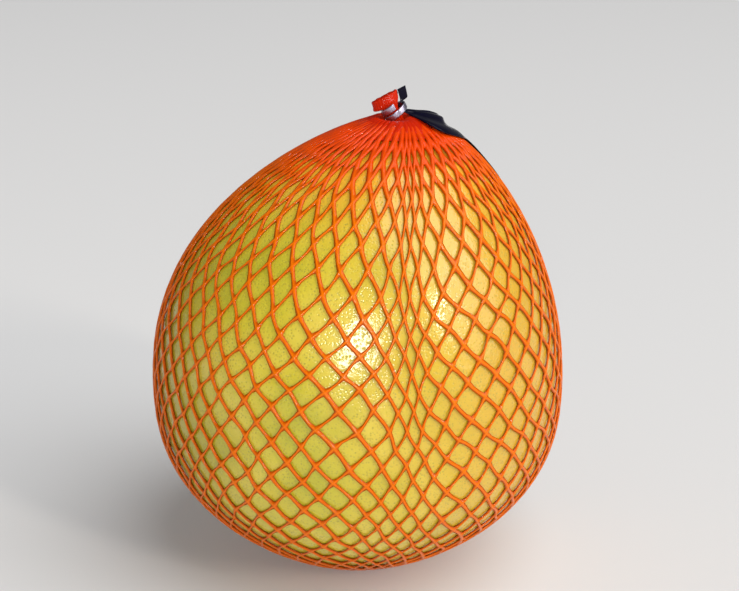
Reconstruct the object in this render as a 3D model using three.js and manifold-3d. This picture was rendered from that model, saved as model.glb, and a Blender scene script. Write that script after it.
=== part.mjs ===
// A whole pomelo in a stretched sleeve of diamond net. The net is gathered to a neck and clipped at the
// top, with the end of a plain film strip caught beside it, and pressed to a flat button underneath.
// Millimetres, +Z up. The part stands on the flat button at the origin.
import * as THREE from "three";
import { mergeVertices } from "three/addons/utils/BufferGeometryUtils.js";
import Module from "manifold-3d";

const wasm = await Module();
wasm.setup();

// The wrap is the middle surface of the net, round at every height. Its outline is a pear: a fuller
// power curve below the belly, cut off flat where the part stands, and a slimmer one above it, which
// ends in a small flat crown round the neck.
const BELLY_RADIUS = 71.9;
const BELLY_HEIGHT = 64;
const SHOULDER_RISE = 95.6;
const SHOULDER_POWER = 2.17;
const SHOULDER_FULLNESS = 0.69;
const CROWN_HEIGHT = 158.3;
const CROWN_EASING = 1.2;
const CROWN_RADIUS = 7.5;
const BASE_DEPTH = 75;
const BASE_POWER = 2.43;
const BASE_FULLNESS = 0.9;
const FLAT_EASING = 2.4;
const WRAP_LOW = 0.75;

// The shoulder leans towards +X as it rises, and the belly is a little out of round.
const LEAN = 14.2;
const LEAN_POWER = 2.9;
const TWO_LOBE = 0.008;
const THREE_LOBE = 0.005;

// Net: diamond cells in columns round the fruit, and the length of a strand between two crossings.
// Cells and strands are larger than life, with 26 columns for the 48 of the real net.
const COLUMNS = 26;
const STRAND_LENGTH = 13.2;
const STRAND_HALF_WIDTH = 1.0;
const STRAND_THICKNESS = 1.1;
const MOST_OF_CELL = 0.42;
const LAST_ROW_RADIUS = 10.5;

// Fruit: its skin lies this far inside the wrap, a little further where it rounds into its flat spot,
// and its stem end falls back under the gather.
const SKIN_GAP = 1.25;
const FOOT_GAP = 0.6;
const FOOT_GAP_HEIGHT = 18;
const STEM_FALL = 5;
const STEM_FALL_HEIGHT = 16;
const FLAT_SPOT_RADIUS = 16;
const FRUIT_SEGMENTS = 48;
const FRUIT_RINGS = 27;

// Gather at the top, the dimple that the clip sits in, the neck that leaves it leaning to -X, the cut
// tail, and the button underneath.
const GATHER_RADIUS = 13.5;
const GATHER_SEGMENTS = 2 * COLUMNS;
const GATHER_UNDERSIDE = { radius: 6, drop: 3.4 };
const PLEAT = 0.3;
const DIMPLE = { radius: 5, aside: -0.8, drop: 1.2, tilt: THREE.MathUtils.degToRad(-10) };
const NECK_RADIUS = 3;
const NECK_TILT = THREE.MathUtils.degToRad(-28);
const NECK_FROM = -1.4;
const NECK_TO = 6.1;
const NECK_FLAT = 1.45;
const TAIL_END = 9;
const TAIL_LEFT = 6.4;
const TAIL_INWARD = 0.8;
const TAIL_DROOP = 1.1;
const TAIL_RIGHT = 3.45;
const TAIL_HALF_DEPTH = 1.9;
const BUTTON_RADIUS = 14;

// Clip: a flat wire wound once and a quarter round the neck, from its left side to past its front.
const CLIP_GAP = 0.35;
const CLIP_THICKNESS = 1;
const CLIP_BAND = 1.9;
const CLIP_PITCH = 2.65;
const CLIP_START = THREE.MathUtils.degToRad(185);
const CLIP_TURNS = 1.27;
const CLIP_STEPS = 36;
const CLIP_SLANT = 0.08;
const CLIP_MIDDLE = 3.2;

// Film strip: a narrow bundle in the clip that fans out beside the gather, stands proud of it along its
// rear edge, turns over the shoulder and goes on down the back. The two angles place its front edge.
const STRIP_START_ANGLE = THREE.MathUtils.degToRad(-42);
const STRIP_ANGLE = THREE.MathUtils.degToRad(16);
const STRIP_START_WIDTH = 10;
const STRIP_WIDTH = 27;
const STRIP_THICKNESS = 0.8;
const STRIP_GAP = 0.35;
const STRIP_STANDS_PROUD = 1.2;
const STRIP_FAN_FROM = 9;
const STRIP_END_HEIGHT = 19;
const STRIP_STEPS = 30;
const STRIP_COLUMNS = 4;

const { clamp, degToRad, lerp, smoothstep } = THREE.MathUtils;

// Follows a value while it is positive and levels out softly to zero below.
function eased(value, softness) {
  return (value + Math.hypot(value, softness)) / 2;
}

// The outline from the middle of the underside (0) to the crown (1), as radius and height.
class WrapOutline extends THREE.Curve {
  getPoint(t) {
    const crownShare = (CROWN_RADIUS / BELLY_RADIUS) ** (1 / SHOULDER_FULLNESS);
    const last = Math.asin((1 - crownShare) ** (1 / SHOULDER_POWER));
    const u = Math.sin(lerp(-Math.PI / 2, last, t));
    if (u >= 0) {
      const radius = BELLY_RADIUS * (1 - u ** SHOULDER_POWER) ** SHOULDER_FULLNESS;
      const below = CROWN_HEIGHT - BELLY_HEIGHT - SHOULDER_RISE * u;
      return new THREE.Vector2(radius, CROWN_HEIGHT - eased(below, CROWN_EASING));
    }
    const radius = BELLY_RADIUS * (1 - (-u) ** BASE_POWER) ** BASE_FULLNESS;
    const above = BELLY_HEIGHT + BASE_DEPTH * u;
    return new THREE.Vector2(radius, Math.max(eased(above, FLAT_EASING), WRAP_LOW));
  }
}

const outline = new WrapOutline();
outline.arcLengthDivisions = 1500;
const OUTLINE_LENGTH = outline.getLength();
const PEAK_HEIGHT = outline.getPoint(1).y;

// Moves a point of the round, upright shape to its place on the leaning, slightly lobed one.
function settle(point) {
  const angle = Math.atan2(point.y, point.x);
  const rise = clamp((point.z - BELLY_HEIGHT) / (PEAK_HEIGHT - BELLY_HEIGHT), 0, 1);
  const belly = smoothstep(Math.hypot(point.x, point.y), 20, 60);
  const lobe = 1 - belly * (TWO_LOBE * Math.sin(2 * angle) + THREE_LOBE * Math.sin(3 * angle));
  return new THREE.Vector3(point.x * lobe + LEAN * rise ** LEAN_POWER, point.y * lobe, point.z);
}

const PEAK = settle(new THREE.Vector3(0, 0, PEAK_HEIGHT));

// Radius and height on the wrap at a distance along the outline, with the outward normal.
function onOutline(distance) {
  const u = clamp(distance / OUTLINE_LENGTH, 0, 1);
  const at = outline.getPointAt(u);
  const along = outline.getTangentAt(u);
  return { radius: at.x, height: at.y, out: along.y, up: -along.x };
}

// A point of the wrap, raised by an offset along the outward normal.
function onWrap(angle, distance, offset) {
  const { radius, height, out, up } = onOutline(distance);
  const r = radius + out * offset;
  return settle(new THREE.Vector3(r * Math.cos(angle), r * Math.sin(angle), height + up * offset));
}

// Halves the stretch between a place on the outline where a test fails and one where it holds.
function halve(failing, holding, test) {
  for (let i = 0; i < 32; i++) {
    const middle = (failing + holding) / 2;
    if (test(onOutline(middle))) holding = middle;
    else failing = middle;
  }
  return holding;
}

const BELLY_DISTANCE = halve(0, OUTLINE_LENGTH, ({ height }) => height >= BELLY_HEIGHT);

// The place below or above the belly where the wrap has a radius.
function lowerAt(radius) {
  return halve(0, BELLY_DISTANCE, (at) => at.radius >= radius);
}

function upperAt(radius) {
  return halve(OUTLINE_LENGTH, BELLY_DISTANCE, (at) => at.radius >= radius);
}

// Rows of crossings: a strand keeps its length, so a cell is tall where the fruit is narrow. The last
// row at each end lies inside the gather or the button.
function crossingRows() {
  const march = (sign) => {
    const rows = [];
    let at = BELLY_DISTANCE;
    for (;;) {
      const half = Math.PI * onOutline(at).radius / COLUMNS;
      const next = at + sign * Math.sqrt(STRAND_LENGTH ** 2 - half ** 2);
      const inside = next > 0 && next < OUTLINE_LENGTH;
      if (!inside || onOutline(next).radius < LAST_ROW_RADIUS) {
        if (onOutline(at).radius > GATHER_RADIUS - 1.5) {
          rows.push(sign > 0 ? upperAt(LAST_ROW_RADIUS) : lowerAt(LAST_ROW_RADIUS));
        }
        return rows;
      }
      rows.push(next);
      at = next;
    }
  };
  return [...march(-1).reverse(), BELLY_DISTANCE, ...march(1)];
}

// Points and faces of a surface while it is built up.
class Shell {
  constructor() {
    this.positions = [];
    this.faces = [];
  }

  point(v) {
    this.positions.push(v.x, v.y, v.z);
    return this.positions.length / 3 - 1;
  }

  triangle(a, b, c) {
    this.faces.push(a, b, c);
  }

  quad(a, b, c, d) {
    this.faces.push(a, b, c, a, c, d);
  }

  geometry() {
    return new THREE.BufferGeometry()
      .setAttribute("position", new THREE.Float32BufferAttribute(this.positions, 3))
      .setIndex(this.faces);
  }
}

// A closed solid through rings of points that run counter-clockwise seen from the last ring's side.
function loft(rings) {
  const shell = new Shell();
  const ids = rings.map((ring) => ring.map((v) => shell.point(v)));
  const size = ids[0].length;
  for (let k = 0; k + 1 < ids.length; k++) {
    for (let i = 0; i < size; i++) {
      const next = (i + 1) % size;
      shell.quad(ids[k][i], ids[k][next], ids[k + 1][next], ids[k + 1][i]);
    }
  }
  const middle = (ring) => ring
    .reduce((sum, v) => sum.add(v), new THREE.Vector3())
    .divideScalar(ring.length);
  const start = shell.point(middle(rings[0]));
  const end = shell.point(middle(rings.at(-1)));
  for (let i = 0; i < size; i++) {
    const next = (i + 1) % size;
    shell.triangle(start, ids[0][next], ids[0][i]);
    shell.triangle(end, ids.at(-1)[i], ids.at(-1)[next]);
  }
  return shell.geometry();
}

// A closed slab between two grids of points. Each row of a grid runs from one long edge to the other.
function slab(outer, inner) {
  const shell = new Shell();
  const top = outer.map((row) => row.map((v) => shell.point(v)));
  const under = inner.map((row) => row.map((v) => shell.point(v)));
  const rows = top.length - 1;
  const columns = top[0].length - 1;
  for (let i = 0; i < rows; i++) {
    for (let j = 0; j < columns; j++) {
      shell.quad(top[i][j], top[i + 1][j], top[i + 1][j + 1], top[i][j + 1]);
      shell.quad(under[i][j], under[i][j + 1], under[i + 1][j + 1], under[i + 1][j]);
    }
    shell.quad(top[i][0], under[i][0], under[i + 1][0], top[i + 1][0]);
    shell.quad(top[i][columns], top[i + 1][columns], under[i + 1][columns], under[i][columns]);
  }
  for (let j = 0; j < columns; j++) {
    shell.quad(top[0][j], top[0][j + 1], under[0][j + 1], under[0][j]);
    shell.quad(top[rows][j], under[rows][j], under[rows][j + 1], top[rows][j + 1]);
  }
  return shell.geometry();
}

function toSolid(geometry) {
  const merged = mergeVertices(geometry, 1e-4);
  return new wasm.Manifold(new wasm.Mesh({
    numProp: 3,
    vertProperties: merged.attributes.position.array,
    triVerts: new Uint32Array(merged.index.array),
  }));
}

function toGeometry(solid) {
  const mesh = solid.getMesh();
  return new THREE.BufferGeometry()
    .setAttribute("position", new THREE.BufferAttribute(new Float32Array(mesh.vertProperties), 3))
    .setIndex(new THREE.BufferAttribute(new Uint32Array(mesh.triVerts), 1));
}

// The fruit: flat where it stands, and blunt under the gather.
function fruitGeometry() {
  const start = lowerAt(FLAT_SPOT_RADIUS);
  const rings = Array.from({ length: FRUIT_RINGS }, (_, k) => {
    const distance = lerp(start, OUTLINE_LENGTH, k / (FRUIT_RINGS - 1));
    const { height } = onOutline(distance);
    const fall = STEM_FALL * smoothstep(height, PEAK_HEIGHT - STEM_FALL_HEIGHT, PEAK_HEIGHT)
      + FOOT_GAP * (1 - smoothstep(height, FOOT_GAP_HEIGHT / 3, FOOT_GAP_HEIGHT));
    return Array.from({ length: FRUIT_SEGMENTS }, (_, i) =>
      onWrap(2 * Math.PI * i / FRUIT_SEGMENTS, distance, -SKIN_GAP - fall));
  });
  return loft(rings);
}

// Diamond net: each crossing has an outer ridge point and four inner corners, one to each cell round it.
function latticeGeometry() {
  const shell = new Shell();
  const half = STRAND_THICKNESS / 2;
  const crossings = crossingRows().map((distance, k) => {
    const { radius } = onOutline(distance);
    const reach = Math.PI * radius / COLUMNS;
    const width = Math.min(STRAND_HALF_WIDTH, MOST_OF_CELL * reach);
    const slope = Math.asin(reach / STRAND_LENGTH);
    const aside = width / Math.cos(slope) / radius;
    const along = width / Math.sin(slope);
    return Array.from({ length: COLUMNS }, (_, j) => {
      const angle = 2 * Math.PI * (j + 0.5 * (k % 2)) / COLUMNS;
      const corner = (turn, step) => shell.point(onWrap(angle + turn, distance + step, -half));
      return {
        ridge: shell.point(onWrap(angle, distance, half)),
        right: corner(aside, 0),
        up: corner(0, along),
        left: corner(-aside, 0),
        down: corner(0, -along),
      };
    });
  });
  const at = (k, j) => crossings[k]?.[(j + COLUMNS) % COLUMNS];
  crossings.forEach((row, k) => row.forEach((x, j) => {
    const upRight = at(k + 1, j + (k % 2));
    const upLeft = at(k + 1, j + (k % 2) - 1);
    shell.quad(x.right, x.down, x.left, x.up);
    if (upRight) {
      shell.quad(x.ridge, x.right, upRight.down, upRight.ridge);
      shell.quad(x.ridge, upRight.ridge, upRight.left, x.up);
      shell.quad(x.right, x.up, upRight.left, upRight.down);
      shell.quad(x.ridge, x.up, upLeft.right, upLeft.ridge);
      shell.quad(x.ridge, upLeft.ridge, upLeft.down, x.left);
      shell.quad(x.up, x.left, upLeft.down, upLeft.right);
    } else {
      shell.triangle(x.ridge, x.right, x.up);
      shell.triangle(x.ridge, x.up, x.left);
    }
    if (k === 0) {
      shell.triangle(x.ridge, x.left, x.down);
      shell.triangle(x.ridge, x.down, x.right);
    }
  }));
  return shell.geometry();
}

const neckFrame = new THREE.Matrix4()
  .makeRotationY(NECK_TILT)
  .setPosition(PEAK);

// A point by its place across the leaning neck and its height along it.
function onNeck(x, y, height) {
  return new THREE.Vector3(x, y, height).applyMatrix4(neckFrame);
}

// The pleated gather, the neck with a flat side for the film strip, and the cut tail above the clip.
function gatherGeometry() {
  const half = STRAND_THICKNESS / 2;
  const edge = upperAt(GATHER_RADIUS);
  const angles = Array.from({ length: GATHER_SEGMENTS }, (_, i) => 2 * Math.PI * i / GATHER_SEGMENTS);
  const crownRing = ({ radius, drop, aside = 0, tilt = 0 }) => angles.map((angle) =>
    new THREE.Vector3(radius * Math.cos(angle), radius * Math.sin(angle), 0)
      .applyAxisAngle(new THREE.Vector3(0, 1, 0), tilt)
      .add(new THREE.Vector3(PEAK.x + aside, PEAK.y, PEAK.z - drop)));
  const wrapRing = (share, offset, pleat) => angles.map((angle, i) =>
    onWrap(angle, lerp(edge, OUTLINE_LENGTH, share), offset + (i % 2 ? -pleat : pleat)));
  const neckRing = (height) => angles.map((angle) =>
    onNeck(Math.min(NECK_RADIUS * Math.cos(angle), NECK_FLAT), NECK_RADIUS * Math.sin(angle), height));
  const tailRing = (t) => angles.map((angle) => {
    const left = lerp(NECK_RADIUS, TAIL_LEFT, smoothstep(t, 0, 0.25)) - TAIL_INWARD * t;
    const right = lerp(NECK_FLAT, TAIL_RIGHT, t ** 0.6);
    const deep = lerp(NECK_RADIUS, TAIL_HALF_DEPTH, t);
    const x = (right - left) / 2 + (right + left) / 2 * Math.cos(angle);
    const droop = TAIL_DROOP * Math.max(-Math.cos(angle), 0) * (1 - t);
    return onNeck(x, deep * Math.sin(angle), lerp(NECK_TO, TAIL_END, t) - droop);
  });
  return loft([
    crownRing(GATHER_UNDERSIDE),
    wrapRing(1, -half, 0),
    wrapRing(0.5, -half, 0),
    wrapRing(0, -half, 0),
    wrapRing(0, half, 0),
    wrapRing(0.4, half, PLEAT),
    wrapRing(1, half, PLEAT),
    crownRing(DIMPLE),
    neckRing(NECK_FROM),
    tailRing(0),
    tailRing(0.25),
    tailRing(0.6),
    tailRing(1),
  ]);
}

// The net's foot, pressed flat between the fruit and the floor.
function buttonGeometry() {
  const ring = (radius, height) => Array.from({ length: GATHER_SEGMENTS }, (_, i) => {
    const angle = 2 * Math.PI * i / GATHER_SEGMENTS;
    return new THREE.Vector3(radius * Math.cos(angle), radius * Math.sin(angle), height);
  });
  return loft([
    ring(BUTTON_RADIUS - 0.4, 0),
    ring(BUTTON_RADIUS, 0.4),
    ring(BUTTON_RADIUS, WRAP_LOW + STRAND_THICKNESS / 2 + 0.1),
  ]);
}

function netGeometry() {
  return toGeometry(toSolid(latticeGeometry())
    .add(toSolid(gatherGeometry()))
    .add(toSolid(buttonGeometry())));
}

function clipGeometry() {
  const inside = NECK_RADIUS + CLIP_GAP;
  const helix = (radius) => Array.from({ length: CLIP_STEPS + 1 }, (_, i) => {
    const turn = CLIP_TURNS * i / CLIP_STEPS;
    const angle = CLIP_START + 2 * Math.PI * turn;
    const x = radius * Math.cos(angle);
    const middle = CLIP_MIDDLE + CLIP_PITCH * (turn - CLIP_TURNS / 2) + CLIP_SLANT * x;
    return [-0.5, 0.5].map((side) =>
      onNeck(x, radius * Math.sin(angle), middle + side * CLIP_BAND));
  });
  return slab(helix(inside + CLIP_THICKNESS), helix(inside));
}

// The strip's bundle from its cut end down through the clip: place across the neck, height along it,
// half width, and the turn of its face from the front to the right in degrees.
const STRIP_BUNDLE = [
  { across: 5.6, height: TAIL_END, halfWidth: 1.5, turn: 0 },
  { across: 5.15, height: 7.6, halfWidth: 1.45, turn: 0 },
  { across: 4.65, height: 6.3, halfWidth: 1.35, turn: 5 },
  { across: 3.9, height: 5.4, halfWidth: 1.3, turn: 25 },
  { across: 2.6, height: 4.7, halfWidth: 1.3, turn: 75 },
  { across: 2.25, height: 3.9, halfWidth: 1.5, turn: 90 },
  { across: 2.25, height: 2.2, halfWidth: 1.6, turn: 90 },
  { across: 5, height: -0.4, halfWidth: 2.2, turn: 55 },
];

function stripGeometry() {
  const sides = Array.from({ length: STRIP_COLUMNS + 1 }, (_, j) => 2 * j / STRIP_COLUMNS - 1);
  const outer = [];
  const inner = [];
  for (const { across, height, halfWidth, turn } of STRIP_BUNDLE) {
    const facing = degToRad(turn);
    const row = (offset) => sides.map((side) => onNeck(
      across + side * halfWidth * Math.cos(facing) + offset * Math.sin(facing),
      side * halfWidth * Math.sin(facing) - offset * Math.cos(facing),
      height));
    outer.push(row(STRIP_THICKNESS / 2));
    inner.push(row(-STRIP_THICKNESS / 2));
  }
  const lowest = STRAND_THICKNESS / 2 + STRIP_GAP;
  const from = upperAt(STRIP_FAN_FROM);
  const to = halve(0, BELLY_DISTANCE, ({ height }) => height >= STRIP_END_HEIGHT);
  for (let i = 0; i <= STRIP_STEPS; i++) {
    const distance = lerp(from, to, i / STRIP_STEPS);
    const { radius, height } = onOutline(distance);
    const shoulder = height > BELLY_HEIGHT;
    const fan = shoulder ? smoothstep(radius, 5, 22) : 1;
    const swing = shoulder ? smoothstep(radius, 10, 25) : 1;
    const halfWidth = lerp(STRIP_START_WIDTH, STRIP_WIDTH, fan) / 2;
    const angle = lerp(STRIP_START_ANGLE, STRIP_ANGLE, swing) + Math.atan2(halfWidth, radius);
    const pleats = shoulder ? PLEAT * (1 - smoothstep(radius, 14, 20)) : 0;
    const proud = shoulder ? STRIP_STANDS_PROUD * (1 - smoothstep(radius, 15, 22)) : 0;
    const bend = shoulder ? smoothstep(radius, 36, 64) : 1;
    const row = (offset) => sides.map((side) => {
      const raised = offset + pleats + proud * (1 + side) / 2;
      const round = onWrap(angle + side * halfWidth / radius, distance, raised);
      if (bend === 1) return round;
      const reach = Math.hypot(radius, side * halfWidth);
      return onWrap(angle + Math.atan2(side * halfWidth, radius), upperAt(reach), raised).lerp(round, bend);
    });
    outer.push(row(lowest + STRIP_THICKNESS));
    inner.push(row(lowest));
  }
  return slab(outer, inner);
}

const part = new THREE.Group();

function addNode(name, geometry, colour, roughness, metalness = 0) {
  const material = new THREE.MeshStandardMaterial({ color: colour, roughness, metalness });
  const mesh = new THREE.Mesh(geometry, material);
  mesh.name = name;
  part.add(mesh);
}

addNode("pomelo", fruitGeometry(), 0xcfc65c, 0.35);
addNode("net", netGeometry(), 0xea4a08, 0.45);
addNode("clip", clipGeometry(), 0xb9b4c2, 0.3, 1);
addNode("label_strip", stripGeometry(), 0x16151e, 0.25);

export default part;
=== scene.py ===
"""A pomelo in a stretched diamond net, clipped at the neck beside a film strip, in a pale studio."""

import bisect
import logging
import math
from dataclasses import dataclass, field
from enum import Enum
from typing import Callable

import bmesh
import bpy
from mathutils import Matrix, Vector, noise


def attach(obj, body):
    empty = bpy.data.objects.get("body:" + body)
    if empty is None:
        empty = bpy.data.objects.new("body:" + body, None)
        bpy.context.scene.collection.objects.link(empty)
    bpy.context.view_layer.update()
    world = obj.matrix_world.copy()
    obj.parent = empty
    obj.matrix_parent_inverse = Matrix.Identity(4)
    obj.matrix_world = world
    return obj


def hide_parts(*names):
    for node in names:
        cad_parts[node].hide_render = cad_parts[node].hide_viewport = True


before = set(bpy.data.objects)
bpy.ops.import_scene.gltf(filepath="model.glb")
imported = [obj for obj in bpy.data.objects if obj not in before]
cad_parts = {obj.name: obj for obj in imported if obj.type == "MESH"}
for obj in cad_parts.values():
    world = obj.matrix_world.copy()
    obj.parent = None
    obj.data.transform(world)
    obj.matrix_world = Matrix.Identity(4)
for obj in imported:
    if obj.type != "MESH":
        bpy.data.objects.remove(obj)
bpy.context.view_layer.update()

log = logging.getLogger("pomelo")
logging.basicConfig(level=logging.INFO, format="%(name)s: %(message)s")

MM = 0.001
# A diamond of the net has four sides, each cut in three.
DIAMOND_SIDES = 12
# Fixes the vector noise, whose offsets would otherwise change from run to run.
SEED = 7
Socket = bpy.types.NodeSocket
Rgba = tuple[float, float, float, float]


class Shading(Enum):
    """How a mesh's faces meet to the eye."""

    SMOOTH = True
    FLAT = False


class Curve(Enum):
    """How a value runs between the ends of its range."""

    STRAIGHT = "LINEAR"
    SOFT = "SMOOTHSTEP"


def shade(mesh: bpy.types.Mesh, shading: Shading) -> None:
    """Sets how a mesh's faces meet."""
    mesh.polygons.foreach_set("use_smooth", [shading.value] * len(mesh.polygons))


def linear(colour: str) -> Rgba:
    """Turns an sRGB hex colour into the linear colour that a shader takes.

    Args:
        colour: The colour as "#rrggbb".

    Returns:
        Red, green, blue and an alpha of 1.
    """
    parts = [int(colour[i:i + 2], 16) / 255 for i in (1, 3, 5)]
    turned = [c / 12.92 if c <= 0.04045 else ((c + 0.055) / 1.055) ** 2.4 for c in parts]
    return (turned[0], turned[1], turned[2], 1.0)


def mix(a: float, b: float, share: float) -> float:
    """Goes from a to b by a share."""
    return a + (b - a) * share


def ease(value: float, low: float, high: float) -> float:
    """Rises smoothly from 0 at low to 1 at high."""
    x = min(max((value - low) / (high - low), 0.0), 1.0)
    return x * x * (3 - 2 * x)


def level_out(value: float, softness: float) -> float:
    """Follows a value while it is positive and levels out softly to zero below."""
    return (value + math.hypot(value, softness)) / 2


def through(points: list[Vector], at: float) -> Vector:
    """Follows a smooth curve through points.

    Args:
        points: The points, in order.
        at: The place along them, where each whole number is a point.

    Returns:
        The place on the curve.
    """
    last = len(points) - 1
    first = min(int(at), last - 1)
    t = at - first
    a, b, c, d = (points[min(max(first + k, 0), last)] for k in (-1, 0, 1, 2))
    slope = c - a
    bend = 2 * a - 5 * b + 4 * c - d
    twist = 3 * b - a - 3 * c + d
    return 0.5 * (2 * b + slope * t + bend * t * t + twist * t ** 3)


def add_node(
    tree: bpy.types.NodeTree, kind: str, links: dict | None = None, **settings
) -> bpy.types.Node:
    """Adds a shader node with its settings, and sets or links its inputs.

    Args:
        tree: The material's node tree.
        kind: The node's type name.
        links: For each input, by name or number, a value or the output socket it reads.
        **settings: The node's own properties.

    Returns:
        The new node.
    """
    node = tree.nodes.new(kind)
    for name, value in settings.items():
        setattr(node, name, value)
    for name, source in (links or {}).items():
        if isinstance(source, bpy.types.NodeSocket):
            tree.links.new(source, node.inputs[name])
        else:
            node.inputs[name].default_value = source
    return node


def colour_stops(node: bpy.types.Node, stops: list[tuple[float, str]]) -> None:
    """Gives a colour ramp its stops.

    Args:
        node: The colour ramp node.
        stops: Places from 0 to 1 with their sRGB hex colours.
    """
    elements = node.color_ramp.elements
    while len(elements) > 1:
        elements.remove(elements[-1])
    for index, (place, colour) in enumerate(stops):
        element = elements[0] if index == 0 else elements.new(place)
        element.position = place
        element.color = linear(colour)


def new_material(
    name: str, constants: dict[str, float | tuple]
) -> tuple[bpy.types.Material, bpy.types.NodeTree, bpy.types.Node]:
    """Makes a material with a Principled shader.

    Args:
        name: The material's name.
        constants: The shader's own values, by input.

    Returns:
        The material, its node tree and its Principled node.
    """
    material = bpy.data.materials.new(name)
    material.use_nodes = True
    tree = material.node_tree
    shader = tree.nodes["Principled BSDF"]
    for socket, value in constants.items():
        shader.inputs[socket].default_value = value
    return material, tree, shader


def object_place(tree: bpy.types.NodeTree) -> Socket:
    """Gives the place on the object, in metres."""
    return add_node(tree, "ShaderNodeTexCoord").outputs["Object"]


def object_height(tree: bpy.types.NodeTree, place: Socket) -> Socket:
    """Gives the height above the floor, in metres."""
    return add_node(tree, "ShaderNodeSeparateXYZ", {"Vector": place}).outputs["Z"]


def mottle(tree: bpy.types.NodeTree, place: Socket, size_mm: float, detail: float, **more) -> Socket:
    """Gives a noise pattern of a real size.

    Args:
        tree: The material's node tree.
        place: The coordinates it reads.
        size_mm: Millimetres from patch to patch.
        detail: Octaves of finer noise.
        **more: Further inputs of the noise, by name.

    Returns:
        The pattern, from 0 to 1.
    """
    links = {"Vector": place, "Scale": 1 / (size_mm * MM), "Detail": detail, **more}
    return add_node(tree, "ShaderNodeTexNoise", links).outputs["Fac"]


def ranged(
    tree: bpy.types.NodeTree, value: Socket, source: tuple[float, float],
    target: tuple[float, float] = (0.0, 1.0), curve: Curve = Curve.STRAIGHT,
) -> Socket:
    """Turns one range of values into another.

    Args:
        tree: The material's node tree.
        value: What is turned.
        source: Its range.
        target: The range it is turned into.
        curve: How it runs between the ends.

    Returns:
        The turned value.
    """
    links = {"Value": value, "From Min": source[0], "From Max": source[1],
             "To Min": target[0], "To Max": target[1]}
    return add_node(tree, "ShaderNodeMapRange", links, interpolation_type=curve.value).outputs["Result"]


def blend(tree: bpy.types.NodeTree, share: Socket, start: Socket | Rgba, end: Socket | Rgba) -> Socket:
    """Blends two colours by a share."""
    links = {"Factor": share, "A": start, "B": end}
    return add_node(tree, "ShaderNodeMix", links, data_type="RGBA").outputs["Result"]


def bump(
    tree: bpy.types.NodeTree, height: Socket, strength: float, depth_mm: float,
    over: Socket | None = None,
) -> Socket:
    """Turns heights into a shading normal.

    Args:
        tree: The material's node tree.
        height: The heights, from 0 to 1.
        strength: How much of the relief shows.
        depth_mm: Millimetres from the lowest to the highest.
        over: A normal that the relief lies on.

    Returns:
        The normal.
    """
    links = {"Height": height, "Strength": strength, "Distance": depth_mm * MM}
    if over is not None:
        links["Normal"] = over
    return add_node(tree, "ShaderNodeBump", links).outputs["Normal"]


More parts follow.
